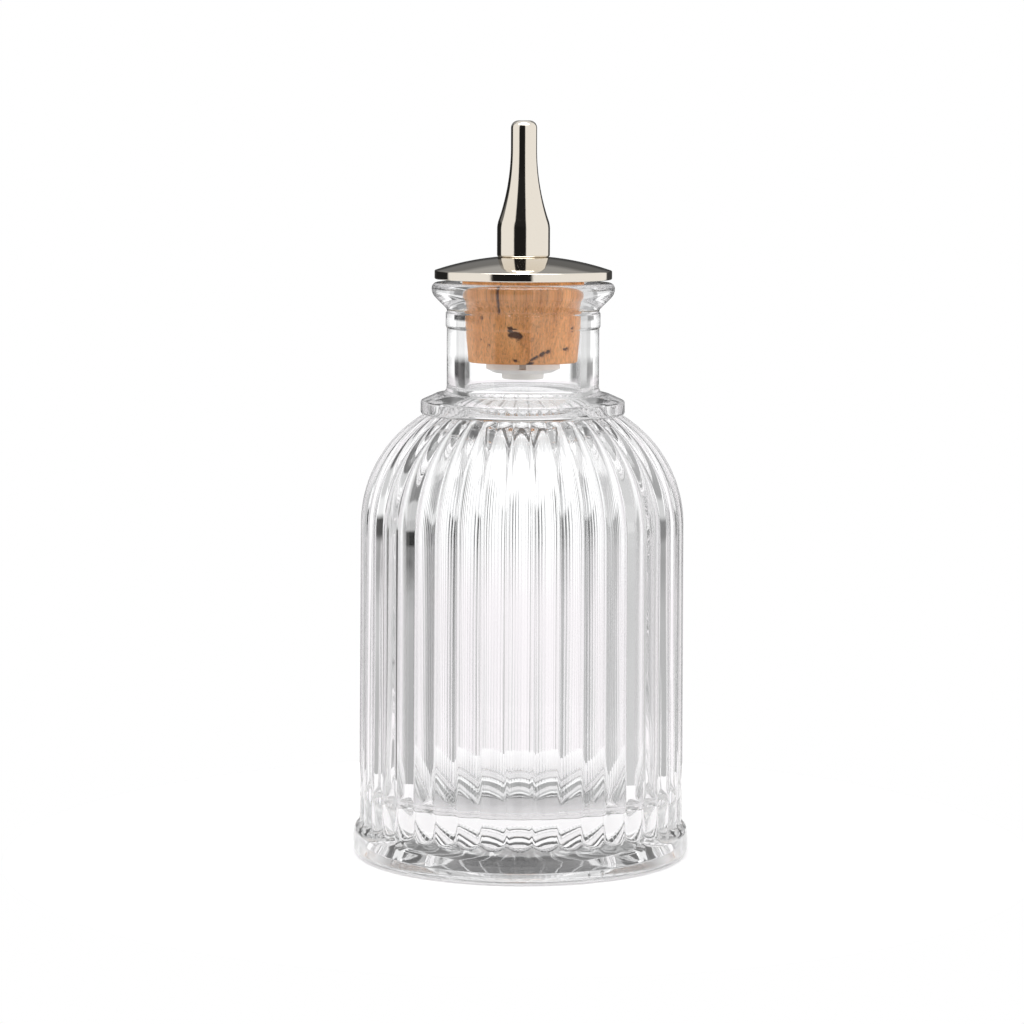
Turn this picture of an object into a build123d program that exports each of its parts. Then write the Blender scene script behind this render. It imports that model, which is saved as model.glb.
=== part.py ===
from build123d import *
from math import acos, asin, cos, degrees, radians, sin, sqrt, tan
import os

# A bitters bottle: a ribbed glass bottle closed by a corked dasher top.
# Millimetres, +Z up. The origin is the centre of the foot, on the table.
# The front of the bottle faces -Y, with the crest of one rib at its centre.

# Foot of the bottle
foot_proud = 1.05  # beyond the lower ends of the ribs
foot_edge_r = 1.5
foot_side_h = 3.3
foot_roll_r = 3.5
foot_slope = 45  # degrees from level, where the ribs run out on the foot
foot_ring_w = 6.25
base_t = 10.3
floor_rise = 0.5
floor_corner_r = 3.0
punt_h = 6.0
punt_edge_w = 1.2
punt_edge_h = 1.2

# Ribbed barrel and shoulder, measured over the crests of the ribs
barrel_d = 57.3
barrel_flare = 0.3
rib_count = 40
rib_depth = 0.9
wall_t = 4.2
shoulder_z = 59.0
shoulder_r = 22.8
shoulder_sections = 9

# Collar, neck and lip
collar_undercut = 0.7
collar_side_h = 2.35
collar_edge_r = 0.5
collar_bevel_w = 2.8
collar_bevel_h = 1.25
collar_ledge_w = 1.8
neck_bore_d = 20.7
neck_wall_t = 3.1
neck_h = 11.75
neck_root_r = 1.3
bore_root_r = 2.0
bead_h = 2.7
bead_proud = 0.2
throat_h = 0.45
throat_r = 0.8
lip_overhang = 2.7
lip_slope = 45  # degrees from level, on the underside of the lip
lip_roll_r = 2.2
lip_side_h = 0.1
lip_edge_r = 1.0
mouth_edge_r = 0.8
seat_h = 5.4
seat_slope = 4.63  # degrees from upright, for the mouth and the cork alike

# Stopper
cork_h = 14.5
cork_edge_r = 0.4
cork_clearance = 0.03
cap_gap = 0.6
cap_d = 31.3
cap_rim_h = 1.5
cap_rise = 2.6
cap_edge_r = 0.15
tube_d = 7.4
tube_wall_t = 1.1
hub_h = 1.2
hub_edge_r = 0.25
ring_d = 13.1
ring_t = 1.95
ring_bevel_w = 1.3
ring_bevel_h = 0.7
notch_count = 2
notch_w = 1.1
notch_h = 1.1
notch_depth = 1.2
fit_clearance = 0.03

# Spout
spout_d = 9.32
spout_side_h = 4.85
spout_edge_r = 0.4
spout_knee_r = 5.0
spout_waist_r = 39.0
tip_d = 4.58
tip_side_h = 3.5
tip_edge_r = 1.3
outlet_d = 1.8
outlet_h = 3.0
channel_d = 3.2
spigot_reach = 7.0

# Flow plug in the lower end of the tube
plug_h = 5.0
plug_hole_d = 1.6
plug_edge_r = 0.2

# One overrun for every cut
overrun = 1.0


def corner_h(rounding, turn):
    """Length that a rounding takes off each side of a corner of that many degrees."""
    return rounding * tan(radians(turn) / 2)


# Places that follow from the sizes above
barrel_r = barrel_d / 2
foot_crest_r = barrel_r + barrel_flare
foot_r = foot_crest_r + foot_proud
inner_r = barrel_r - wall_t
arc_centre_r = barrel_r - shoulder_r
bore_r = neck_bore_d / 2
neck_r = bore_r + neck_wall_t
collar_r = neck_r + collar_ledge_w + collar_bevel_w
collar_z = shoulder_z + sqrt(
    shoulder_r**2 - (collar_r - collar_undercut - arc_centre_r) ** 2
)
collar_side_z = collar_z + collar_side_h
collar_top_z = collar_side_z + collar_bevel_h
bead_z = collar_top_z + neck_h
throat_z = bead_z + bead_h
lip_z = throat_z + throat_h
lip_r = neck_r + lip_overhang
lip_side_z = lip_z + lip_overhang * tan(radians(lip_slope))
bottle_h = lip_side_z + corner_h(lip_roll_r, lip_slope) + lip_side_h + lip_edge_r
seat_z = bottle_h - seat_h

cap_z = bottle_h + cap_gap
cap_r = cap_d / 2
cap_rim_z = cap_z + cap_rim_h
cap_dome_r = (cap_r**2 + cap_rise**2) / (2 * cap_rise)
spout_r = spout_d / 2
tip_r = tip_d / 2
spout_z = cap_rim_z + cap_rise - cap_dome_r + sqrt(cap_dome_r**2 - spout_r**2)
knee_z = spout_z + spout_side_h
spout_turn = acos(1 - (spout_r - tip_r) / (spout_knee_r + spout_waist_r))
waist_z = knee_z + (spout_knee_r + spout_waist_r) * sin(spout_turn)
tip_z = waist_z + tip_side_h + tip_edge_r
cork_z = cap_z - cork_h
ring_z = cork_z - ring_t
hub_z = ring_z - hub_h
tube_r = tube_d / 2
socket_r = tube_r - tube_wall_t
channel_r = channel_d / 2
spigot_z = cap_z - spigot_reach


def seat_r(z):
    """Radius of the tapered mouth, and of the cork's own taper, at a height."""
    return bore_r + (z - seat_z) * tan(radians(seat_slope))


def turned(*corners):
    """Solid of revolution from (radius, height, rounding) corners."""
    points = [(r, 0, z) for r, z, rounding in corners]
    roundings = [rounding for r, z, rounding in corners]
    outline = FilletPolyline(*points, radius=roundings, close=True)
    return revolve(make_face(outline), Axis.Z)


def ball_under(top_z, rim_r, rise):
    """Ball that tops out at a height and is rim_r in radius one rise lower."""
    ball_r = (rim_r**2 + rise**2) / (2 * rise)
    return Pos(0, 0, top_z - ball_r) * Sphere(ball_r)


def ribbed_outline(crest_r, valley_r, z, stretch=1):
    """Closed outline of convex ribs that meet in sharp valleys.

    Each rib is a circular arc, stretched outwards where the wall leans in, because
    a level cut through a leaning rib is that much deeper than the rib itself.
    """
    pitch = 360 / rib_count
    half_w = valley_r * sin(radians(pitch) / 2)
    depth = (crest_r - valley_r * cos(radians(pitch) / 2)) / stretch
    rib_r = (half_w**2 + depth**2) / (2 * depth)
    half_turn = degrees(asin(half_w / rib_r))
    centre = (crest_r - stretch * rib_r, 0)
    rib = EllipticalCenterArc(
        centre, stretch * rib_r, rib_r, -half_turn, arc_size=2 * half_turn
    )
    ribs = [Pos(0, 0, z) * Rot(0, 0, pitch * i) * rib for i in range(rib_count)]
    return make_face(ribs)


def shoulder_outline(rise):
    """Ribbed outline at a rise up the shoulder, where the ribs get finer."""
    crest_r = arc_centre_r + sqrt(shoulder_r**2 - rise**2)
    depth = rib_depth * crest_r / barrel_r
    valley_r = arc_centre_r + sqrt((shoulder_r - depth) ** 2 - rise**2)
    stretch = shoulder_r / sqrt(shoulder_r**2 - rise**2)
    return ribbed_outline(crest_r, valley_r, shoulder_z + rise, stretch)


def make_barrel():
    """Straight part of the ribs, a little wider at the foot."""
    low = ribbed_outline(foot_crest_r, foot_crest_r - rib_depth, foot_side_h)
    high = ribbed_outline(barrel_r, barrel_r - rib_depth, shoulder_z)
    return loft([low, high], ruled=True)


def make_shoulder():
    """Ribs that run up over the shoulder and end under the collar."""
    full_turn = asin((collar_z - shoulder_z) / shoulder_r)
    steps = shoulder_sections - 1
    rises = [shoulder_r * sin(full_turn * i / steps) for i in range(shoulder_sections)]
    return loft([shoulder_outline(rise) for rise in rises])


def make_foot():
    """Thick foot: rounded below, rolled inwards above."""
    roll_z = foot_side_h + corner_h(foot_roll_r, foot_slope)
    top_z = roll_z + (foot_r - inner_r) * tan(radians(foot_slope))
    return turned(
        (0, 0, 0),
        (foot_r, 0, foot_edge_r),
        (foot_r, roll_z, foot_roll_r),
        (inner_r, top_z, 0),
        (0, top_z, 0),
    )


def make_neck():
    """Collar, neck, band and rolled lip, turned on one outline."""
    bead_r = neck_r + bead_proud
    return turned(
        (0, collar_z, 0),
        (collar_r, collar_z, collar_edge_r),
        (collar_r, collar_side_z, collar_edge_r),
        (collar_r - collar_bevel_w, collar_top_z, collar_edge_r),
        (neck_r, collar_top_z, neck_root_r),
        (neck_r, bead_z, 0),
        (bead_r, bead_z + bead_proud, bead_proud),
        (bead_r, throat_z - bead_proud, bead_proud),
        (neck_r, throat_z, 0),
        (neck_r, lip_z, throat_r),
        (lip_r, lip_side_z, lip_roll_r),
        (lip_r, bottle_h, lip_edge_r),
        (0, bottle_h, 0),
    )


def make_cavity():
    """Inside of the bottle: domed floor, barrel, shoulder, bore and tapered mouth."""
    inner_arc_r = shoulder_r - wall_t
    bore_foot_z = shoulder_z + sqrt(inner_arc_r**2 - (bore_r - arc_centre_r) ** 2)
    half_turn = acos((bore_r - arc_centre_r) / inner_arc_r) / 2
    arc_middle = (
        arc_centre_r + inner_arc_r * cos(half_turn),
        0,
        shoulder_z + inner_arc_r * sin(half_turn),
    )
    top_z = bottle_h + overrun
    outline = [
        Line((0, 0, base_t + floor_rise), (inner_r, 0, base_t)),
        Line((inner_r, 0, base_t), (inner_r, 0, shoulder_z)),
        ThreePointArc((inner_r, 0, shoulder_z), arc_middle, (bore_r, 0, bore_foot_z)),
        Line((bore_r, 0, bore_foot_z), (bore_r, 0, seat_z)),
        Line((bore_r, 0, seat_z), (seat_r(bottle_h), 0, bottle_h)),
        Line((seat_r(bottle_h), 0, bottle_h), (seat_r(bottle_h), 0, top_z)),
        Line((seat_r(bottle_h), 0, top_z), (0, 0, top_z)),
        Line((0, 0, top_z), (0, 0, base_t + floor_rise)),
    ]
    face = make_face(outline)
    for r, z, rounding in (
        (inner_r, base_t, floor_corner_r),
        (bore_r, bore_foot_z, bore_root_r),
    ):
        corner = face.vertices().sort_by_distance((r, 0, z))[0]
        face = fillet(corner, rounding)
    return revolve(face, Axis.Z)


def make_punt():
    """Domed hollow under the foot, which leaves a ring to stand on."""
    punt_r = foot_r - foot_ring_w
    rim_r = punt_r - punt_edge_w
    blank = turned(
        (0, -overrun, 0),
        (punt_r, -overrun, 0),
        (punt_r, 0, 0),
        (rim_r, punt_edge_h, 0),
        (rim_r, punt_h, 0),
        (0, punt_h, 0),
    )
    return blank & ball_under(punt_h, rim_r, punt_h - punt_edge_h)


def make_bottle():
    """The whole bottle, in one piece of glass."""
    glass = make_foot() + make_barrel() + make_shoulder() + make_neck()
    glass = glass - make_cavity() - make_punt()
    top_circles = glass.edges().filter_by(GeomType.CIRCLE).group_by(Axis.Z)[-1]
    mouth = top_circles.sort_by(SortBy.RADIUS)[0]
    return fillet(mouth, mouth_edge_r)


def make_cork():
    """Tapered cork with a bore for the tube."""
    bore = tube_r + fit_clearance
    low_r = seat_r(cork_z) - cork_clearance
    high_r = seat_r(cap_z) - cork_clearance
    return turned(
        (bore, cork_z, 0),
        (low_r, cork_z, cork_edge_r),
        (high_r, cap_z, 0),
        (bore, cap_z, 0),
    )


def make_cap():
    """Domed disc with a flat seat for the spout and a hole for its spigot."""
    blank = turned(
        (0, cap_z, 0),
        (cap_r, cap_z, cap_edge_r),
        (cap_r, spout_z, 0),
        (0, spout_z, 0),
    )
    hole = Pos(0, 0, cap_z) * Cylinder(socket_r, 2 * (spout_z - cap_z + overrun))
    return (blank & ball_under(cap_rim_z + cap_rise, cap_r, cap_rise)) - hole


def make_spout():
    """Turned nozzle with a waisted outline, a channel and a small outlet."""
    join_r = spout_r - spout_knee_r * (1 - cos(spout_turn))
    join_z = knee_z + spout_knee_r * sin(spout_turn)
    knee_middle = (
        spout_r - spout_knee_r * (1 - cos(spout_turn / 2)),
        0,
        knee_z + spout_knee_r * sin(spout_turn / 2),
    )
    waist_middle = (
        tip_r + spout_waist_r * (1 - cos(spout_turn / 2)),
        0,
        waist_z - spout_waist_r * sin(spout_turn / 2),
    )
    outline = [
        Line((0, 0, spout_z), (spout_r, 0, spout_z)),
        Line((spout_r, 0, spout_z), (spout_r, 0, knee_z)),
        ThreePointArc((spout_r, 0, knee_z), knee_middle, (join_r, 0, join_z)),
        ThreePointArc((join_r, 0, join_z), waist_middle, (tip_r, 0, waist_z)),
        Line((tip_r, 0, waist_z), (tip_r, 0, tip_z)),
        Line((tip_r, 0, tip_z), (0, 0, tip_z)),
        Line((0, 0, tip_z), (0, 0, spout_z)),
    ]
    face = make_face(outline)
    for r, z, rounding in ((spout_r, spout_z, spout_edge_r), (tip_r, tip_z, tip_edge_r)):
        corner = face.vertices().sort_by_distance((r, 0, z))[0]
        face = fillet(corner, rounding)
    nozzle = revolve(face, Axis.Z)
    spigot = turned(
        (0, spigot_z, 0),
        (socket_r - fit_clearance, spigot_z, 0),
        (socket_r - fit_clearance, spout_z + overrun, 0),
        (0, spout_z + overrun, 0),
    )
    channel = turned(
        (0, spigot_z - overrun, 0),
        (channel_r, spigot_z - overrun, 0),
        (channel_r, tip_z - outlet_h, 0),
        (outlet_d / 2, tip_z - outlet_h + channel_r - outlet_d / 2, 0),
        (outlet_d / 2, tip_z + overrun, 0),
        (0, tip_z + overrun, 0),
    )
    return nozzle + spigot - channel


def make_tube():
    """Plastic tube through the cork, with a socket at each end."""
    plug_top_z = hub_z + plug_h
    return turned(
        (socket_r, hub_z, 0),
        (tube_r, hub_z, hub_edge_r),
        (tube_r, cap_z, 0),
        (socket_r, cap_z, 0),
        (socket_r, spigot_z, 0),
        (channel_r, spigot_z, 0),
        (channel_r, plug_top_z, 0),
        (socket_r, plug_top_z, 0),
    )


def make_ring():
    """Flange that holds the cork up against the disc, with spanner notches."""
    bore = tube_r + fit_clearance
    ring_r = ring_d / 2
    ring = turned(
        (bore, ring_z, 0),
        (ring_r - ring_bevel_w, ring_z, 0),
        (ring_r, ring_z + ring_bevel_h, 0),
        (ring_r, cork_z, 0),
        (bore, cork_z, 0),
    )
    notch = Pos(0, -ring_r, cork_z) * Box(notch_w, 2 * notch_depth, 2 * notch_h)
    for i in range(notch_count):
        ring -= Rot(0, 0, 360 * i / notch_count) * notch
    return ring


def make_plug():
    """Plug with the narrow hole that meters the dashes."""
    plug_r = socket_r - fit_clearance
    return turned(
        (plug_hole_d / 2, hub_z, plug_edge_r),
        (plug_r, hub_z, 0),
        (plug_r, hub_z + plug_h, 0),
        (plug_hole_d / 2, hub_z + plug_h, plug_edge_r),
    )


pieces = {
    "glass_bottle": make_bottle(),
    "cork_stopper": make_cork(),
    "cap_disc": make_cap(),
    "dash_spout": make_spout(),
    "core_tube": make_tube(),
    "retaining_ring": make_ring(),
    "flow_plug": make_plug(),
}

os.makedirs("parts", exist_ok=True)
for name, piece in pieces.items():
    export_step(piece, f"parts/{name}.step")
    print(name, "volume", round(piece.volume, 1), "valid", piece.is_valid)
print("bottle height", round(bottle_h, 2), "overall height", round(tip_z, 2))
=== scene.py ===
# %% [markdown]
# A small bottle for bitters: ribbed clear glass, a natural cork, a domed metal disc
# and a pointed metal spout that lets the bitters out in dashes. The measured model is
# the frame: it says where every piece is and how it moves, and this lesson dresses it.
# No piece is placed by eye: each is drawn where the frame has it, in metres. The light
# and the colours are another matter. They were set by comparing renders with the photo.

# %% Load the measured frame
from math import acos, asin, atan2, ceil, cos, pi, radians, sin, sqrt, tan

import bpy
import numpy as np
from mathutils import Matrix, Vector, noise


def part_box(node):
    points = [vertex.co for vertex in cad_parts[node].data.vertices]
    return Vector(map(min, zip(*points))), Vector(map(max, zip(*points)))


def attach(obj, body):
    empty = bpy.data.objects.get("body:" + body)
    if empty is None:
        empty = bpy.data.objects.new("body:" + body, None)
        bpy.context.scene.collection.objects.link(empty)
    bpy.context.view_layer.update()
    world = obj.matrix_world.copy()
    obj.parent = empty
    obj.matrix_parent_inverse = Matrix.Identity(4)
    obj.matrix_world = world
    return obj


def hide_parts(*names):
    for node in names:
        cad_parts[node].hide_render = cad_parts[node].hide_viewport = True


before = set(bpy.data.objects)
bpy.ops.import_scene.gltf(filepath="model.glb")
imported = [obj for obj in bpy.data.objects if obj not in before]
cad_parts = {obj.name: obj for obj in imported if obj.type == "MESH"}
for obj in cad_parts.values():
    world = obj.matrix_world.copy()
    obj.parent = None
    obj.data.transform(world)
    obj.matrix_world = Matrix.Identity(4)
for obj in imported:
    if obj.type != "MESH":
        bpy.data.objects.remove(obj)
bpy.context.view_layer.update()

MM = 0.001
print("pieces in the frame:", ", ".join(sorted(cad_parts)))

# %% [markdown]
# Glass and polished metal show every facet, so the bottle, the disc and the spout, and
# the cork with its pores, are not dressed as they came: they are turned again with many
# more steps, on the same sizes. Blender's lathe is the Spin tool. It needs half of the
# outline, drawn as a chain of edges beside the axis. The outline is drawn the way one
# draws it by hand: one vertex, extruded from corner to corner. A corner is a radius, a
# height and the rounding that it gets.

# %% Round the corners of an outline
ARC_STEP = radians(15)


def rounded(corners, arc_step=ARC_STEP):
    """Points of an open outline, with an arc at each (radius, height, rounding) corner."""
    points = []
    for i, (r, z, rounding) in enumerate(corners):
        here = Vector((r, z))
        if not rounding or i in (0, len(corners) - 1):
            points.append(here)
            continue
        back = (Vector(corners[i - 1][:2]) - here).normalized()
        on = (Vector(corners[i + 1][:2]) - here).normalized()
        half = back.angle(on) / 2
        middle = here + (back + on).normalized() * (rounding / sin(half))
        start = here + back * (rounding / tan(half)) - middle
        turn = start.angle_signed(here + on * (rounding / tan(half)) - middle)
        steps = max(2, ceil(abs(turn) / arc_step))
        for k in range(steps + 1):
            points.append(middle + Matrix.Rotation(-turn * k / steps, 2) @ start)
    return points


def arc(centre, radius, start, end, steps):
    """Points on a circle between two angles from the level, without the first one."""
    turns = [start + (end - start) * (k + 1) / steps for k in range(steps)]
    return [Vector((centre[0] + radius * cos(t), centre[1] + radius * sin(t))) for t in turns]


def with_rows(points, spacing):
    """The same outline, with long straight runs cut into rows no longer than spacing."""
    made = [points[0]]
    for a, b in zip(points, points[1:]):
        rows = max(1, ceil((b - a).length / spacing))
        made += [a.lerp(b, k / rows) for k in range(1, rows + 1)]
    return made


print("a quarter round has", len(rounded([(1, 0, 0), (1, 1, 0.5), (0, 1, 0)])) - 2, "points")

# %% [markdown]
# The lathe itself. A plane is shrunk to one vertex, the vertex is extruded along the
# outline, and Spin carries the chain round the axis. Where the chain touches the axis,
# the spin leaves many vertices on one spot, so they are merged, and then the faces are
# turned outwards. Every piece ends with its place in its mesh and its object at the
# origin, because it has to ride on a body of the frame.

# %% Turn an outline on the lathe
def deselect_all():
    """Leaves nothing selected, so that an operator acts on what is picked next."""
    if bpy.context.object and bpy.context.object.mode != "OBJECT":
        bpy.ops.object.mode_set(mode="OBJECT")
    bpy.ops.object.select_all(action="DESELECT")


def turned(name, points, steps):
    """A new piece: the outline spun once round the Z axis."""
    deselect_all()
    first = Vector((points[0].x, 0, points[0].y))
    bpy.ops.mesh.primitive_plane_add(size=MM, location=first)
    piece = bpy.context.object
    piece.name = piece.data.name = name
    bpy.ops.object.transform_apply(location=True, rotation=True, scale=True)
    bpy.ops.object.mode_set(mode="EDIT")
    bpy.ops.mesh.select_all(action="SELECT")
    bpy.ops.mesh.merge(type="CENTER")
    for a, b in zip(points, points[1:]):
        step = (b.x - a.x, 0, b.y - a.y)
        bpy.ops.mesh.extrude_vertices_move(TRANSFORM_OT_translate={"value": step})
    bpy.ops.mesh.select_all(action="SELECT")
    bpy.ops.mesh.spin(steps=steps, angle=2 * pi, center=(0, 0, 0), axis=(0, 0, 1))
    bpy.ops.mesh.select_all(action="SELECT")
    bpy.ops.mesh.remove_doubles(threshold=0.0005 * MM)
    bpy.ops.mesh.normals_make_consistent(inside=False)
    bpy.ops.object.mode_set(mode="OBJECT")
    bpy.ops.object.shade_smooth()
    print(name, "has", len(piece.data.polygons), "faces")
    return piece


# %% Reach the points of a piece
def points_of(piece):
    """The places of a piece's vertices, as rows of x, y and z."""
    places = np.empty(len(piece.data.vertices) * 3)
    piece.data.vertices.foreach_get("co", places)
    return places.reshape(-1, 3)


def move_points(piece, places):
    """Writes the places back and lets the piece update."""
    piece.data.vertices.foreach_set("co", places.ravel())
    piece.data.update()


# %% [markdown]
# The glass. Its outline starts under the foot, in the domed hollow that keeps the
# bottle from rocking, runs out round the thick foot and up the crests of the ribs,
# turns over the shoulder to the collar, and goes on up the neck to the rolled lip.
# From the mouth it comes down the inside to the floor. It is one closed skin, so
# light enters and leaves it as it does in real glass.

# %% The sizes of the bottle
low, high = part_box("glass_bottle")
BARREL_R = 57.3 * MM / 2
BARREL_FLARE = 0.3 * MM
FOOT_R = high.x
FOOT_EDGE = 1.5 * MM
FOOT_SIDE_H = 3.3 * MM
FOOT_ROLL = 3.5 * MM
FOOT_SLOPE = radians(45)
PUNT_R = FOOT_R - 6.25 * MM
PUNT_EDGE = 1.2 * MM
PUNT_H = 6.0 * MM
BASE_T = 10.3 * MM
FLOOR_RISE = 0.5 * MM
FLOOR_CORNER = 3.0 * MM
WALL_T = 4.2 * MM
INNER_R = BARREL_R - WALL_T
SHOULDER_Z = 59.0 * MM
SHOULDER_R = 22.8 * MM
ARC_CENTRE_R = BARREL_R - SHOULDER_R
BORE_R = 20.7 * MM / 2
NECK_R = BORE_R + 3.1 * MM
COLLAR_R = NECK_R + 4.6 * MM
COLLAR_UNDERCUT = 0.7 * MM
COLLAR_CREST_R = COLLAR_R - COLLAR_UNDERCUT
COLLAR_Z = SHOULDER_Z + sqrt(SHOULDER_R**2 - (COLLAR_CREST_R - ARC_CENTRE_R) ** 2)
COLLAR_SIDE_Z = COLLAR_Z + 2.35 * MM
COLLAR_TOP_Z = COLLAR_SIDE_Z + 1.25 * MM
BEAD_Z = COLLAR_TOP_Z + 11.75 * MM
BEAD_OUT = 0.2 * MM
THROAT_Z = BEAD_Z + 2.7 * MM
LIP_Z = THROAT_Z + 0.45 * MM
LIP_R = NECK_R + 2.7 * MM
LIP_SIDE_Z = LIP_Z + 2.7 * MM
TOP_Z = high.z
SEAT_H = 5.4 * MM
SEAT_Z = TOP_Z - SEAT_H
SEAT_SLOPE = radians(4.63)
MOUTH_R = BORE_R + SEAT_H * tan(SEAT_SLOPE)
print("bottle", round(TOP_Z / MM, 2), "mm tall,", round(2 * FOOT_R / MM, 2), "mm across the foot")

# %% Draw the outline of the glass
foot_roll_z = FOOT_SIDE_H + FOOT_ROLL * tan(FOOT_SLOPE / 2)
barrel_foot_z = foot_roll_z + (FOOT_R - BARREL_R - BARREL_FLARE) * tan(FOOT_SLOPE)
bore_foot_z = SHOULDER_Z + sqrt((SHOULDER_R - WALL_T) ** 2 - (BORE_R - ARC_CENTRE_R) ** 2)
shoulder_end = atan2(COLLAR_Z - SHOULDER_Z, COLLAR_CREST_R - ARC_CENTRE_R)
bore_start = atan2(bore_foot_z - SHOULDER_Z, BORE_R - ARC_CENTRE_R)
PUNT_STEPS = 8
RUNOUT_H = 1.6 * MM
RUNOUT_ROW = 0.13 * MM
BARREL_ROW = 6 * MM
SHOULDER_ROWS = 25
ROOT_ROW = 0.16 * MM
NECK_ROW = 4 * MM
INNER_ROWS = 20
INNER_WALL_ROW = 2.3 * MM
FLOOR_ROW = 3 * MM

punt_rim_r = PUNT_R - PUNT_EDGE
punt_ball_r = (punt_rim_r**2 + (PUNT_H - PUNT_EDGE) ** 2) / (2 * (PUNT_H - PUNT_EDGE))
punt_end = pi / 2 - asin(punt_rim_r / punt_ball_r)
punt = arc((0, PUNT_H - punt_ball_r), punt_ball_r, pi / 2, punt_end, PUNT_STEPS)
underside = [Vector((0, PUNT_H))] + punt[:-1] + rounded([
    (punt[-2].x, punt[-2].y, 0),
    (punt_rim_r, PUNT_EDGE, 0.8 * MM),
    (PUNT_R, 0, 0.3 * MM),
    (FOOT_R, 0, FOOT_EDGE),
    (FOOT_R, foot_roll_z, FOOT_ROLL),
    (BARREL_R + BARREL_FLARE, barrel_foot_z, 0),
])[1:]
runout_top = Vector((BARREL_R + BARREL_FLARE, barrel_foot_z + RUNOUT_H))
runout = with_rows([underside[-1], runout_top], RUNOUT_ROW)
barrel = with_rows([runout_top, Vector((BARREL_R, SHOULDER_Z))], BARREL_ROW)
shoulder = arc((ARC_CENTRE_R, SHOULDER_Z), SHOULDER_R, 0, shoulder_end, SHOULDER_ROWS)
shoulder[-1:] = with_rows([shoulder[-2], shoulder[-1]], ROOT_ROW)[1:]
neck = rounded([
    (COLLAR_CREST_R, COLLAR_Z, 0),
    (COLLAR_R, COLLAR_Z, 0.45 * MM),
    (COLLAR_R, COLLAR_SIDE_Z, 0.5 * MM),
    (NECK_R + 1.8 * MM, COLLAR_TOP_Z, 0.6 * MM),
    (NECK_R, COLLAR_TOP_Z, 1.3 * MM),
    (NECK_R, BEAD_Z - BEAD_OUT, BEAD_OUT),
    (NECK_R + BEAD_OUT, BEAD_Z + BEAD_OUT, BEAD_OUT),
    (NECK_R + BEAD_OUT, THROAT_Z - BEAD_OUT, BEAD_OUT),
    (NECK_R, THROAT_Z + 0.05 * MM, 0.15 * MM),
    (NECK_R, LIP_Z, 0.55 * MM),
    (LIP_R, LIP_SIDE_Z, 2.2 * MM),
    (LIP_R, TOP_Z, 1.0 * MM),
    (MOUTH_R, TOP_Z, 0.8 * MM),
    (BORE_R, SEAT_Z, 3.0 * MM),
    (BORE_R, SEAT_Z - 3 * MM, 0),
])
bore = with_rows([neck[-1], Vector((BORE_R, bore_foot_z + 2 * MM))], NECK_ROW)
inner_shoulder = arc(
    (ARC_CENTRE_R, SHOULDER_Z), SHOULDER_R - WALL_T, bore_start - radians(6), 0, INNER_ROWS)
inner_foot = Vector((INNER_R, BASE_T + FLOOR_CORNER))
inner_wall = with_rows([inner_shoulder[-1], inner_foot], INNER_WALL_ROW)
floor_corner = rounded([
    (INNER_R, BASE_T + FLOOR_CORNER * 1.2, 0),
    (INNER_R, BASE_T, FLOOR_CORNER),
    (0, BASE_T + FLOOR_RISE, 0),
])
outline = underside + runout[1:] + barrel[1:] + shoulder + neck[1:] + bore[1:]
outline += inner_shoulder + inner_wall[1:-1] + with_rows(floor_corner[1:], FLOOR_ROW)
print("the outline has", len(outline), "points")

# %% Spin it
RIBS = 40
STEPS_PER_RIB = 12
glass = turned("ribbed_glass", outline, RIBS * STEPS_PER_RIB)

# %% [markdown]
# So far the bottle is round. A boolean could add the ribs, but it would leave hard
# seams, and glass that has been polished by fire has none. So the points of the spun
# skin are moved in by a formula instead. A level cut through a rib is an arc, which is
# stretched on the shoulder, where the wall leans. Two neighbours meet in a small round
# valley, and the ribs melt in the same way into the foot and into the collar.

# %% Press the ribs into the round glass
RIB_PITCH = 2 * pi / RIBS
RIB_DEPTH = 0.9 * MM
VALLEY_BLEND = 0.6 * MM
FOOT_BLEND = 0.4 * MM
COLLAR_BLEND = 0.25 * MM
COLLAR_FLARE = 2.2
GATHER = 0.3
HAIR = 0.01 * MM


def blend_up(a, b, width):
    """The larger of two heights, with a round inner corner where they cross."""
    near = np.maximum(width - np.abs(a - b), 0) / width
    return np.maximum(a, b) + near**2 * width / 4


def rib_arc(angle, crest, valley, stretch):
    """How far out a rib's arc lies at an angle from its crest."""
    half_w = valley * sin(RIB_PITCH / 2)
    depth = (crest - valley * cos(RIB_PITCH / 2)) / stretch
    round_r = (half_w**2 + depth**2) / (2 * depth)
    centre = crest - stretch * round_r
    a = (np.cos(angle) / (stretch * round_r)) ** 2 + (np.sin(angle) / round_r) ** 2
    b = centre * np.cos(angle) / (stretch * round_r) ** 2
    c = (centre / (stretch * round_r)) ** 2 - 1
    return (b + np.sqrt(np.maximum(b**2 - a * c, 0))) / a


def ribbed(angle, z):
    """How far out the ribbed wall lies at an angle from a crest and at a height."""
    rise = np.maximum(z - SHOULDER_Z, 0)
    lean = np.sqrt(SHOULDER_R**2 - rise**2)
    flare = BARREL_FLARE * np.maximum(SHOULDER_Z - z, 0) / (SHOULDER_Z - FOOT_SIDE_H)
    crest = ARC_CENTRE_R + lean + flare
    depth = RIB_DEPTH * crest / BARREL_R
    valley = ARC_CENTRE_R + np.sqrt((SHOULDER_R - depth) ** 2 - rise**2) + flare
    stretch = SHOULDER_R / lean
    here = rib_arc(angle, crest, valley, stretch)
    beside = rib_arc(np.abs(angle) - RIB_PITCH, crest, valley, stretch)
    return blend_up(here, beside, VALLEY_BLEND)


places = points_of(glass)
radius = np.hypot(places[:, 0], places[:, 1])
height = places[:, 2]
turn = np.arctan2(places[:, 1], places[:, 0])
across = (turn + RIB_PITCH / 2) % RIB_PITCH - RIB_PITCH / 2

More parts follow.
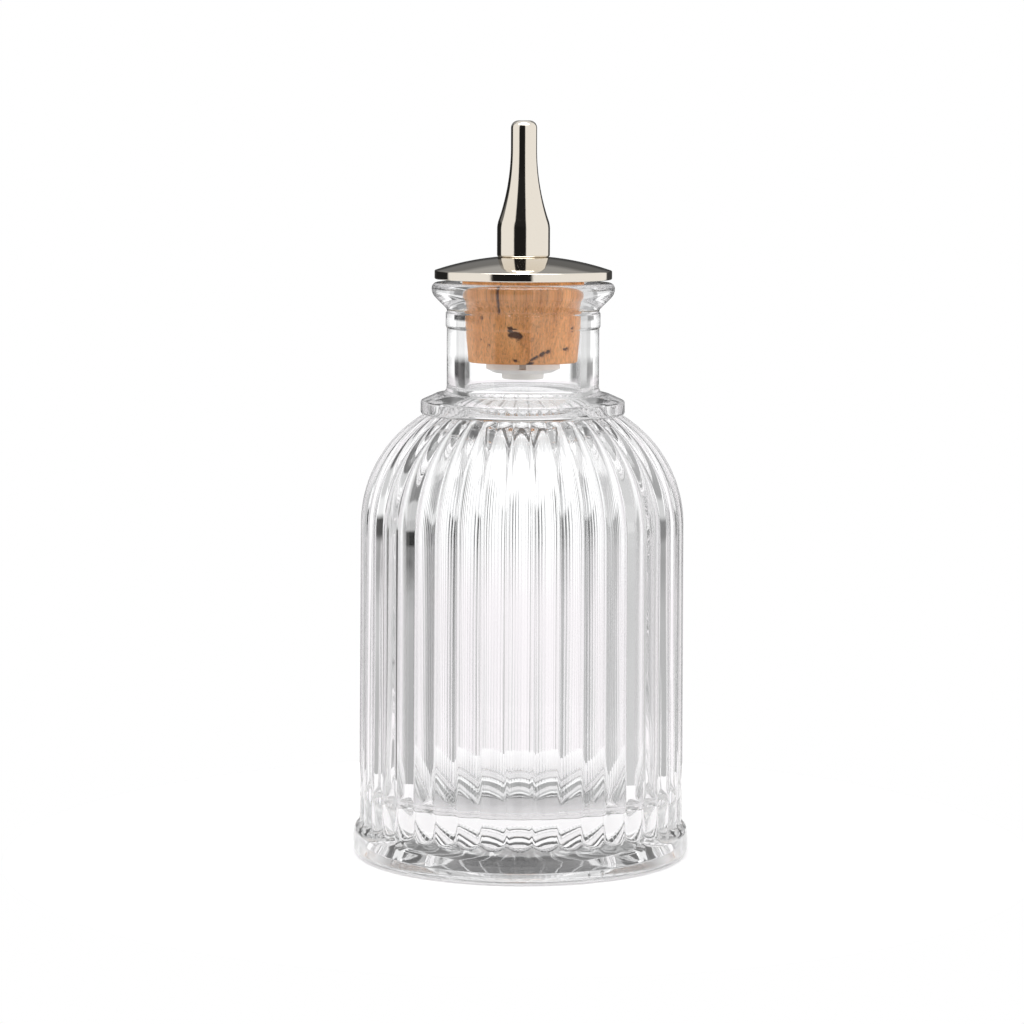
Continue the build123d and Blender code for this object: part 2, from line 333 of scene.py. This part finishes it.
# The steps are gathered towards the valleys, where the skin turns most.
share = across / (RIB_PITCH / 2)
gathered = ((1 + GATHER) * share - GATHER * share**3) * RIB_PITCH / 2
turn = turn - across + gathered

from_arc = np.hypot(radius - ARC_CENTRE_R, height - SHOULDER_Z)
outer_arc = from_arc > SHOULDER_R - WALL_T / 2
outer_side = radius > INNER_R + WALL_T / 2
outside = np.where(height > SHOULDER_Z, outer_arc, outer_side)
under_collar = (height < COLLAR_Z + HAIR) & (radius > COLLAR_CREST_R - HAIR)
wall = outside & (height > foot_roll_z) & under_collar
made = ribbed(gathered[wall], height[wall])
foot_slope = FOOT_R - (height[wall] - foot_roll_z) / tan(FOOT_SLOPE)
made = blend_up(made, foot_slope, FOOT_BLEND)
collar_root = COLLAR_CREST_R - (COLLAR_Z - height[wall]) * COLLAR_FLARE
made = blend_up(made, collar_root, COLLAR_BLEND)
on_foot = (height[wall] < barrel_foot_z - HAIR) & (radius[wall] > made)
radius[wall] = np.where(on_foot, radius[wall], made)
places[:, 0] = radius * np.cos(turn)
places[:, 1] = radius * np.sin(turn)
move_points(glass, places)
print("ribs:", RIBS, "with", STEPS_PER_RIB, "steps each")


# %% [markdown]
# The mould shapes only the outside of a blown bottle. The inside is free, so it is a
# little uneven, in long waves that run down the wall. A perfect inside would look like
# plastic: the waves bend what is seen through the glass into wood-grain lines. A
# Displace modifier could do it, but it moves all of a closed skin, so the inner points
# alone are moved, by a smooth noise that is stretched along the bottle. It is calmer
# near the floor, where the glass is thick.

# %% Let the inside be a little wavy
WAVE = 0.08 * MM
RIPPLE = 0.003 * MM
WAVE_SCALE = Vector((1 / (7 * MM), 1 / (7 * MM), 1 / (26 * MM)))
RIPPLE_SCALE = Vector((1 / (2 * MM), 1 / (2 * MM), 1 / (30 * MM)))
CALM_H = 6 * MM
CALM_START = 0.2

inner_arc = np.hypot(radius - ARC_CENTRE_R, height - SHOULDER_Z)
from_middle = np.where(height > SHOULDER_Z, inner_arc, radius - ARC_CENTRE_R)
inner_side = from_middle < SHOULDER_R - WALL_T / 2
inner_side &= (height > BASE_T - 0.1 * MM) & (height < bore_foot_z) & (radius > BORE_R)
for i in np.flatnonzero(inner_side):
    place = Vector(places[i])
    fade = min(1, (place.z - BASE_T) / CALM_H + CALM_START)
    out = Vector((place.x, place.y, 0)).normalized()
    wave = noise.noise(place * WAVE_SCALE) * WAVE + noise.noise(place * RIPPLE_SCALE) * RIPPLE
    places[i] = place + out * wave * fade
move_points(glass, places)
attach(glass, "bottle")
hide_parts("glass_bottle")
print(int(inner_side.sum()), "points of the inside are uneven")

# %% [markdown]
# The cork is a tapered plug, cut from bark and then ground. Its pores are real hollows
# in the skin, so it has many small faces, and the pores are pressed in by moving
# points: a few at named places that the photo shows, and many small ones at random.
# How deep a point lies is kept as an attribute, which the material reads to darken it.

# %% Turn the cork
low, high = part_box("cork_stopper")
CORK_LOW_Z = low.z
CORK_TOP_Z = high.z
CORK_TOP_R = high.x
CORK_LOW_R = CORK_TOP_R - (CORK_TOP_Z - CORK_LOW_Z) * tan(SEAT_SLOPE)
TUBE_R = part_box("core_tube")[1].x
CORK_BORE_R = TUBE_R + 0.03 * MM
CORK_EDGE = 0.4 * MM
CORK_TOP_EDGE = 0.15 * MM
CORK_ROW = 0.24 * MM
CORK_STEPS = 320

cork_outline = rounded([
    (CORK_BORE_R, CORK_LOW_Z, 0),
    (CORK_LOW_R, CORK_LOW_Z, CORK_EDGE),
    (CORK_TOP_R, CORK_TOP_Z, CORK_TOP_EDGE),
    (CORK_BORE_R, CORK_TOP_Z, 0),
    (CORK_BORE_R, CORK_LOW_Z, 0),
])
cork_side = with_rows(cork_outline, CORK_ROW)
cork = turned("cork_plug", cork_side, CORK_STEPS)

# %% Press the pores into the cork
PORE_DEPTH = 0.5 * MM
PORE_RIM = 1.25
PORE_SLOPE = 0.6
FULL_PORE_W = 0.7 * MM
RAGGED = 0.7
RAGGED_SCALE = 1800
ROUGH = 0.03 * MM
ROUGH_SCALE = Vector((2600, 2600, 900))
CORK_SKIN = 0.45 * MM
FRONT_PORES = (
    # sideways from the front, up from the lower end, width, height, lean
    (-1.3, 5.4, 2.2, 1.9, -0.3),
    (-1.9, 6.3, 1.4, 0.7, -0.4),
    (-7.1, 8.0, 0.5, 0.5, 0.0),
    (3.3, 1.9, 1.6, 0.6, 0.5),
    (2.0, 1.2, 1.4, 0.45, 0.6),
    (4.3, 2.3, 1.1, 0.5, 0.2),
    (8.0, 2.7, 1.5, 0.45, 0.1),
    (1.0, 0.15, 2.2, 0.5, 0.35),
    (-4.0, 11.6, 0.5, 6.0, 0.03),
)
SMALL_PORES = 90
pore_seed = np.random.default_rng(12)
pores = [tuple(v * MM for v in pore[:4]) + pore[4:] for pore in FRONT_PORES]
for _ in range(SMALL_PORES):
    around = pore_seed.uniform(0.7, 2 * pi - 0.7) * CORK_TOP_R
    up = pore_seed.uniform(0.6, 14) * MM
    width = pore_seed.gamma(2, 0.09) * MM
    lean = pore_seed.uniform(-0.4, 0.4)
    pores.append((around, up, width + 0.15 * MM, width * 0.8 + 0.12 * MM, lean))

places = points_of(cork)
radius = np.hypot(places[:, 0], places[:, 1])
around = np.arctan2(places[:, 0], -places[:, 1])
up = places[:, 2] - CORK_LOW_Z
side_r = CORK_LOW_R + up * tan(SEAT_SLOPE)
on_side = radius > side_r - CORK_SKIN
ragged = np.array([noise.noise(Vector(place) * RAGGED_SCALE) for place in places])
pit = np.zeros(len(places))
for across_at, up_at, width, tall, lean in pores:
    sideways = (around * side_r - across_at + pi * side_r) % (2 * pi * side_r) - pi * side_r
    above = up - up_at - sideways * lean
    far = np.hypot(sideways / (width / 2), above / (tall / 2)) + ragged * RAGGED
    bowl = np.clip((PORE_RIM - far) / PORE_SLOPE, 0, 1)
    pit = np.maximum(pit, bowl * np.clip(width / FULL_PORE_W, 0.3, 1))
pit *= on_side
rough = np.array([noise.noise(Vector(place) * ROUGH_SCALE) for place in places])
inwards = (pit * PORE_DEPTH + (rough + 1) * ROUGH) * on_side
places[:, 0] *= 1 - inwards / radius
places[:, 1] *= 1 - inwards / radius
move_points(cork, places)
cork.data.attributes.new("pore", "FLOAT", "POINT").data.foreach_set("value", pit)
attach(cork, "stopper")
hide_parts("cork_stopper")
print(len(pores), "pores, the deepest", round(float(inwards.max()) / MM, 2), "mm")

# %% [markdown]
# The disc and the spout are turned brass with a bright plating. Both are solids of
# revolution with small rounded edges, so the lathe is right for them too. The dome of
# the disc is an arc, and the spout is two arcs that meet: a tight one at its knee and a
# long one that makes its waist. The outlet is a real hole.

# %% Turn the disc
low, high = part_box("cap_disc")
CAP_LOW_Z = low.z
CAP_R = high.x
SPOUT_Z = high.z
CAP_RIM_Z = CAP_LOW_Z + 1.5 * MM
CAP_RISE = 2.6 * MM
CAP_EDGE = 0.22 * MM
CAP_BEVEL = 0.6 * MM
DOME_STEPS = 24
DISC_STEPS = 240
SPIGOT_R = 2.6 * MM
low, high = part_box("dash_spout")
SPOUT_R = high.x
TIP_Z = high.z

dome_r = (CAP_R**2 + CAP_RISE**2) / (2 * CAP_RISE)
dome_z = CAP_RIM_Z + CAP_RISE - dome_r
dome_start = atan2(CAP_RIM_Z - dome_z, CAP_R)
dome_end = atan2(SPOUT_Z - dome_z, SPOUT_R)
rim = rounded([
    (SPIGOT_R, CAP_LOW_Z, 0),
    (CAP_R, CAP_LOW_Z, CAP_EDGE),
    (CAP_R, CAP_RIM_Z, CAP_EDGE),
    (CAP_R - CAP_BEVEL, CAP_RIM_Z + CAP_BEVEL / tan(dome_start), 0),
])
dome = arc((0, dome_z), dome_r, dome_start + radians(0.8), dome_end, DOME_STEPS)
seat = [Vector((SPIGOT_R, SPOUT_Z)), Vector((SPIGOT_R, CAP_LOW_Z))]
disc = turned("domed_disc", rim[:-1] + dome + seat, DISC_STEPS)
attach(disc, "stopper")
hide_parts("cap_disc")

# %% Turn the spout
KNEE_Z = SPOUT_Z + 4.85 * MM
KNEE_R = 5.0 * MM
WAIST_R = 39.0 * MM
TIP_R = 4.58 * MM / 2
SPOUT_TURN = acos(1 - (SPOUT_R - TIP_R) / (KNEE_R + WAIST_R))
WAIST_Z = KNEE_Z + (KNEE_R + WAIST_R) * sin(SPOUT_TURN)
CHANNEL_R = 1.6 * MM
OUTLET_R = 0.9 * MM
OUTLET_H = 3 * MM
KNEE_STEPS = 12
WAIST_STEPS = 30
SPOUT_STEPS = 160
SPIGOT_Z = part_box("dash_spout")[0].z

spout_foot = rounded([
    (SPIGOT_R, SPIGOT_Z, 0),
    (SPIGOT_R, SPOUT_Z, 0),
    (SPOUT_R, SPOUT_Z, 0.4 * MM),
    (SPOUT_R, KNEE_Z, 0),
])
knee = arc((SPOUT_R - KNEE_R, KNEE_Z), KNEE_R, 0, SPOUT_TURN, KNEE_STEPS)
waist = arc((TIP_R + WAIST_R, WAIST_Z), WAIST_R, pi + SPOUT_TURN, pi, WAIST_STEPS)
tip = rounded([
    (TIP_R, WAIST_Z, 0),
    (TIP_R, TIP_Z, 1.3 * MM),
    (OUTLET_R, TIP_Z, 0.08 * MM),
    (OUTLET_R, TIP_Z - OUTLET_H, 0),
    (CHANNEL_R, TIP_Z - OUTLET_H - (CHANNEL_R - OUTLET_R), 0),
    (CHANNEL_R, SPIGOT_Z, 0),
    (SPIGOT_R, SPIGOT_Z, 0),
], radians(8))
spout = turned("dash_spout_polished", spout_foot + knee + waist + tip[1:], SPOUT_STEPS)
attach(spout, "stopper")
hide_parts("dash_spout")
print("spout", round((TIP_Z - SPOUT_Z) / MM, 2), "mm tall")

# %% [markdown]
# Finishes. A finish is one Principled shader whose inputs are fed by procedural
# textures on Object coordinates, so a pattern sits on the piece and not on the picture.
# One helper adds a node, sets it and links it, which keeps the recipes short.

# %% A helper for nodes
def node(tree, kind, sockets=(), **settings):
    """A new node with its settings, and with values or links on its sockets."""
    made = tree.nodes.new(kind)
    for name, value in settings.items():
        setattr(made, name, value)
    for name, value in dict(sockets).items():
        if isinstance(value, bpy.types.NodeSocket):
            tree.links.new(value, made.inputs[name])
        else:
            made.inputs[name].default_value = value
    return made


def as_colour(value):
    """A colour as a socket wants it. A grey may be one number."""
    return (*value, 1) if isinstance(value, tuple) else (value, value, value, 1)


def ramp(tree, factor, stops):
    """A colour ramp from (position, colour) stops."""
    made = node(tree, "ShaderNodeValToRGB", {"Fac": factor})
    points = made.color_ramp.elements
    points.remove(points[1])
    for i, (position, colour) in enumerate(stops):
        point = points[0] if i == 0 else points.new(position)
        point.position = position
        point.color = as_colour(colour)
    return made.outputs["Color"]


def mixed(tree, factor, a, b, blend="MIX"):
    """A colour between two colours, or with another blend, such as their product."""
    made = node(tree, "ShaderNodeMix", data_type="RGBA", blend_type=blend)
    for socket, value in ((0, factor), (6, a), (7, b)):
        if isinstance(value, bpy.types.NodeSocket):
            tree.links.new(value, made.inputs[socket])
        else:
            made.inputs[socket].default_value = value if socket == 0 else as_colour(value)
    return made.outputs[2]


def object_noise(tree, scale, detail=3, stretch=(1, 1, 1), roughness=0.5):
    """Noise on the piece itself. Scale is in grains for a metre."""
    place = node(tree, "ShaderNodeTexCoord").outputs["Object"]
    place = node(tree, "ShaderNodeMapping", {"Vector": place, "Scale": stretch}).outputs["Vector"]
    sockets = {"Vector": place, "Scale": scale, "Detail": detail, "Roughness": roughness}
    return node(tree, "ShaderNodeTexNoise", sockets).outputs["Fac"]


def new_finish(name, **values):
    """A new material, its tree and its shader, with plain values on the shader."""
    material = bpy.data.materials.new(name)
    material.use_nodes = True
    shader = material.node_tree.nodes["Principled BSDF"]
    for socket, value in values.items():
        shader.inputs[socket.replace("_", " ")].default_value = value
    return material, material.node_tree, shader


def bump(tree, shader, height, strength, distance):
    """Gives the shader a relief."""
    sockets = {"Height": height, "Strength": strength, "Distance": distance}
    relief = node(tree, "ShaderNodeBump", sockets).outputs["Normal"]
    tree.links.new(relief, shader.inputs["Normal"])


def dress(piece, material):
    """The piece gets this finish and no other."""
    piece.data.materials.clear()
    piece.data.materials.append(material)
    print(piece.name, "is finished in", material.name)


# %% [markdown]
# Clear glass: it lets nearly all light through and bends it. The faintest unevenness of a
# fire-polished skin comes from a wide, very shallow relief.

# %% Clear glass
clear_glass, tree, shader = new_finish(
    "clear_glass", Base_Color=(0.985, 0.988, 0.99, 1), Roughness=0.0, IOR=1.5, Transmission_Weight=1.0)
bump(tree, shader, object_noise(tree, 420, 2, (1, 1, 0.4)), 0.12, 0.05 * MM)
dress(glass, clear_glass)

# %% [markdown]
# Natural cork: tan bark with darker growth rings that run down the plug, a fine short
# grain, and pores that are brown inside. The tones are written more orange than bark is,
# and the palest ones lighter. They were chosen for the cork as it is seen through the
# ribbed glass in this light. Lifted out of the neck, it looks far too bright and orange.

# %% Natural cork
PORE_BROWN = (0.055, 0.02, 0.012)
natural_cork, tree, shader = new_finish("natural_cork", Roughness=0.8, Specular_IOR_Level=0.3)
rings = object_noise(tree, 420, 4, (1, 1, 0.16), 0.6)
cork_colour = ramp(tree, rings, [
    (0.25, (0.50, 0.17, 0.04)),
    (0.42, (0.74, 0.31, 0.095)),
    (0.6, (0.85, 0.39, 0.14)),
    (0.78, (0.95, 0.52, 0.24)),
])
grain = object_noise(tree, 3600, 4, (1, 1, 0.3), 0.8)
grain_tone = ramp(tree, grain, [(0.32, 0.5), (0.47, 0.98), (0.66, 1.25)])
grained = mixed(tree, 1, cork_colour, grain_tone, "MULTIPLY")
pore = node(tree, "ShaderNodeAttribute", attribute_name="pore").outputs["Fac"]
in_pore = ramp(tree, pore, [(0.1, 0.0), (0.75, 0.92)])
pitted = mixed(tree, in_pore, grained, PORE_BROWN)
tree.links.new(pitted, shader.inputs["Base Color"])
bump(tree, shader, grain, 0.5, 0.1 * MM)
dress(cork, natural_cork)

# %% [markdown]
# Polished metal: a warm, bright plating on turned brass. Its colour is all in what it
# mirrors, so the tone is plain. Handling leaves a faint haze, which makes the gloss a
# little uneven, and the polishing wheel leaves ripples that only a reflection shows.

# %% Polished metal
polished_metal, tree, shader = new_finish(
    "polished_metal", Base_Color=(0.80, 0.75, 0.67, 1), Metallic=1.0)
haze = object_noise(tree, 1500, 5)
tree.links.new(ramp(tree, haze, [(0.35, 0.03), (0.75, 0.09)]), shader.inputs["Roughness"])
bump(tree, shader, object_noise(tree, 2600, 2), 0.09, 0.02 * MM)
dress(spout, polished_metal)
dress(disc, polished_metal)

# %% [markdown]
# Milky plastic: the tube, the ring and the plug are moulded in a food-safe plastic that
# is nearly white and lets a little light through. Their shapes are right as they came,
# so these nodes of the frame stay, and only get a finish with a soft moulded skin.

# %% Milky plastic
milky_plastic, tree, shader = new_finish(
    "milky_plastic", Base_Color=(0.98, 0.95, 0.91, 1), Roughness=0.35, IOR=1.49,
    Transmission_Weight=0.05)
bump(tree, shader, object_noise(tree, 1200, 3), 0.1, 0.03 * MM)
for name in ("core_tube", "retaining_ring", "flow_plug"):
    dress(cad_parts[name], milky_plastic)

# %% [markdown]
# The studio. Glass and metal show what stands round them and hardly anything else. The
# photo hints at what stood there: a white backdrop and sweep, tall pale softboxes at both
# sides, and dark gaps between them.

# %% The studio as a world
world = bpy.data.worlds.new("studio")
bpy.context.scene.world = world
world.use_nodes = True
tree = world.node_tree
direction = node(tree, "ShaderNodeTexCoord").outputs["Generated"]
upwards = node(tree, "ShaderNodeSeparateXYZ", {"Vector": direction}).outputs["Z"]
from_below = {"Value": upwards, "From Min": -1.0, "From Max": 1.0}
rise = node(tree, "ShaderNodeMapRange", from_below).outputs["Result"]


def round_the_bottle(mirror):
    """Degrees round the bottle, as 0 to 1 from left to right, with 0.5 straight ahead."""
    sockets = {"Vector": direction, "Rotation": (0, 0, pi / 2), "Scale": (1, mirror, 1)}
    facing = node(tree, "ShaderNodeMapping", sockets).outputs["Vector"]
    circle = node(tree, "ShaderNodeTexGradient", {"Vector": facing}, gradient_type="RADIAL")
    return circle.outputs["Fac"]


camera_side = round_the_bottle(1)
far_side = round_the_bottle(-1)


def ring_of_light(ahead, *bands, soft=4):
    """Brightness all round at one height, from (last degree, brightness) bands.

    Degrees are counted from the side that is ahead, with the left negative.
    """
    stops = []
    start = -180
    for end, light in bands:
        stops.append((0.5 + start / 360, light))
        stops.append((0.5 + (end - soft * (end < 180)) / 360, light))
        start = end
    return ramp(tree, ahead, stops)


def studio(*levels, soft=2):
    """Rings of light above each other, from (degrees above the horizon, ring) levels."""
    seen = levels[0][1]
    for height, ring in levels[1:]:
        start = 0.5 + sin(radians(height - soft / 2)) / 2
        end = 0.5 + sin(radians(height + soft / 2)) / 2
        seen = mixed(tree, ramp(tree, rise, [(start, 0.0), (end, 1.0)]), seen, ring)
    return seen


print("the studio is a world, so it has no cards to hide from the camera")

# %% [markdown]
# The glass and the metal get separate rings of light. In a real studio this is partly
# so: a flat card behind the bottle is seen through the glass and is out of the metal's
# sight. The rest is a shortcut. The tones of both were chosen by comparing renders with
# the photo, and are not worked out from one real room. The rings for the glass are
# counted from straight behind the bottle. From the table up, they stand for: the table,
# its far end, which is lit in the middle and grey at both sides, the top edges of two
# black cards, the white backdrop, the dark room above it, and the light under the
# ceiling.

# %% What the glass sees
LAVENDER = (1.03, 0.985, 1.01)
table = ring_of_light(far_side, (-15, 0.4), (30, 0.75), (180, 0.7), soft=10)
table_end = ring_of_light(
    far_side, (-150, 0.65), (-95, 0.65), (-70, 0.46), (-42, 0.16), (-26, 0.45), (18, LAVENDER),
    (30, 0.85), (65, 0.46), (95, 0.62), (150, 0.45), (180, 0.8), soft=6)
backdrop_foot = ring_of_light(
    far_side, (-150, 0.9), (-95, 0.62), (-70, 0.5), (-36, 0.15), (-26, 0.6), (30, LAVENDER),
    (65, 0.46), (95, 0.6), (150, 0.75), (180, 1.0), soft=6)
black_cards = ring_of_light(
    far_side, (-150, 0.8), (-85, 0.5), (-23, 0.02), (18, 1.25), (42, 0.2), (95, 0.65),
    (180, 0.9))
backdrop = ring_of_light(far_side, (-65, 0.5), (-30, 0.85), (30, 1.3), (45, 0.65), (180, 0.75))
backdrop_top = ring_of_light(
    far_side, (-65, 0.6), (-42, 0.2), (-28, 0.6), (30, 0.85), (42, 0.35), (180, 0.7))
dark_room = ring_of_light(
    far_side, (-95, 0.5), (-40, 0.25), (35, 0.1), (65, 0.4), (180, 0.65), soft=10)
upper_room = ring_of_light(
    far_side, (-60, 0.7), (-35, 0.3), (35, 0.08), (65, 0.5), (180, 0.75), soft=10)
ceiling = ring_of_light(far_side, (-40, 0.9), (40, 0.4), (180, 1.0), soft=10)
seen_by_glass = studio(
    (-90, table), (-22, table_end), (-9, backdrop_foot), (-7.5, black_cards), (-3.7, backdrop),
    (2, backdrop_top), (13, dark_room), (30, upper_room), (52, ceiling), soft=1.5,
)
print("behind the glass:", len(tree.nodes), "nodes so far")

# %% [markdown]
# What the skins reflect. The two pale softboxes make the cream sides of the metal, and
# between them, on the camera's side, the room is black and draws the dark stripe down
# its middle. A stronger softbox hangs above the camera. It puts the white highlights on
# the shoulder and the lip, and thin bright lines on the round edges of the metal.

# %% What the skins reflect
CREAM = (1.0, 0.985, 0.965)
SOFTBOX = 6.0
seen_by_metal = studio(
    (-90, ring_of_light(camera_side, (180, 1.0))),
    (-20, ring_of_light(
        camera_side, (-155, 0.06), (-112, 0.02), (-40, CREAM), (14, 0.015), (140, CREAM),
        (180, 0.06))),
    (12, ring_of_light(
        camera_side, (-114, 0.19), (-40, CREAM), (14, 0.02), (140, CREAM), (180, 0.14))),
    (27, ring_of_light(
        camera_side, (-114, 0.42), (-40, CREAM), (14, 0.02), (140, CREAM), (180, 0.36))),
    (46, ring_of_light(camera_side, (-70, 0.9), (70, SOFTBOX), (180, 0.9))),
    (78, ring_of_light(camera_side, (180, 1.5))),
    soft=5,
)
print("in front of the skins:", len(tree.nodes), "nodes so far")

# %% [markdown]
# A world can look different to each kind of ray. The camera sees pure white. Light that
# has touched cork, plastic or the table on its way comes from a soft light, in four bands
# round the bottle. A plain level would be 1 all round, at which a colour comes out about
# as it is written. This light is not plain: by its bands, an upright wall that nothing
# shades gets about 1.1 where it faces the camera, 1.3 behind, and 1.6 to 1.7 at the
# sides. The bands were chosen for the look of the cork behind the glass. Together with
# the tones of the cork, they make it too bright and orange when it is lifted. That is a
# fault of this scene. The mend to try is 1 all round, and the cork in the tones of bark.

# %% Show each ray its own studio
soft_light = ring_of_light(
    camera_side, (-140, 0.95), (-40, 1.9), (40, 0.57), (140, 1.95), (180, 0.95), soft=20)
path = node(tree, "ShaderNodeLightPath").outputs
seen = mixed(tree, path["Is Transmission Ray"], seen_by_metal, seen_by_glass)
seen = mixed(tree, path["Is Camera Ray"], seen, 1.0)
bounced = node(tree, "ShaderNodeMapRange", {"Value": path["Diffuse Depth"]}).outputs["Result"]
light = mixed(tree, bounced, seen, soft_light)
tree.links.new(light, tree.nodes["Background"].inputs["Color"])
print("the whole studio has", len(tree.nodes), "nodes")

# %% [markdown]
# The floor is a plain white disc just under the foot. A plain colour would either clip
# or leave an edge against the white, so it is part grey, which keeps the shadow of the
# bottle, and part glow. Through the glass it is seen with less shadow and more glow, a
# shortcut that was chosen to bring the foot near to the photo's.

# %% The floor
FLOOR_R = 92 * MM
FLOOR_DROP = 0.02 * MM
deselect_all()
bpy.ops.mesh.primitive_circle_add(
    vertices=96, radius=FLOOR_R, fill_type="NGON", location=(0, 0, -FLOOR_DROP))
floor = bpy.context.object
floor.name = "white_sweep"
floor_white, tree, shader = new_finish(
    "floor_white", Roughness=0.9, Emission_Color=(1, 0.975, 0.99, 1))
through_glass = node(tree, "ShaderNodeLightPath").outputs["Is Transmission Ray"]
tone = mixed(tree, through_glass, 0.45, 0.2)
tree.links.new(tone, shader.inputs["Base Color"])
from_0_to_1 = {"Value": through_glass, "To Min": 0.43, "To Max": 0.65}
glow = node(tree, "ShaderNodeMapRange", from_0_to_1).outputs["Result"]
tree.links.new(glow, shader.inputs["Emission Strength"])
dress(floor, floor_white)

# %% [markdown]
# The camera stands about 60 cm in front of the bottle and looks down a little. How far
# it stands and how far it looks down follow from the ellipses of the foot and the lip,
# and the small turns from the photo's own tilt. The frame is square.

# %% The camera
CAMERA_PLACE = Vector((-1.8 * MM, -600 * MM, 127.5 * MM))
CAMERA_LENS = 119.46
CAMERA_DOWN = radians(6.31)
CAMERA_ROLL = radians(0.27)
CAMERA_TURN = radians(0.6)
camera_data = bpy.data.cameras.new("camera")
camera = bpy.data.objects.new("camera", camera_data)
bpy.context.collection.objects.link(camera)
bpy.context.scene.camera = camera
camera_data.sensor_width = 36
camera_data.lens = CAMERA_LENS
turn_down = Matrix.Rotation(pi / 2 - CAMERA_DOWN, 4, "X") @ Matrix.Rotation(CAMERA_ROLL, 4, "Z")
walk_round = Matrix.Rotation(CAMERA_TURN, 4, "Z")
camera.matrix_world = walk_round @ Matrix.Translation(CAMERA_PLACE) @ turn_down
print("the camera is", round(CAMERA_PLACE.length, 3), "m from the foot")

# %% [markdown]
# Light crosses many skins on its way through a ribbed bottle, and each crossing is a
# bounce. With too few bounces the glass turns grey, so there are more than usual.

# %% Colours as written, and enough bounces for the glass
scene = bpy.context.scene
scene.view_settings.view_transform = "Standard"
scene.cycles.max_bounces = 32
scene.cycles.transmission_bounces = 24
scene.cycles.glossy_bounces = 16
scene.cycles.diffuse_bounces = 4
print("bounces through glass:", scene.cycles.transmission_bounces)
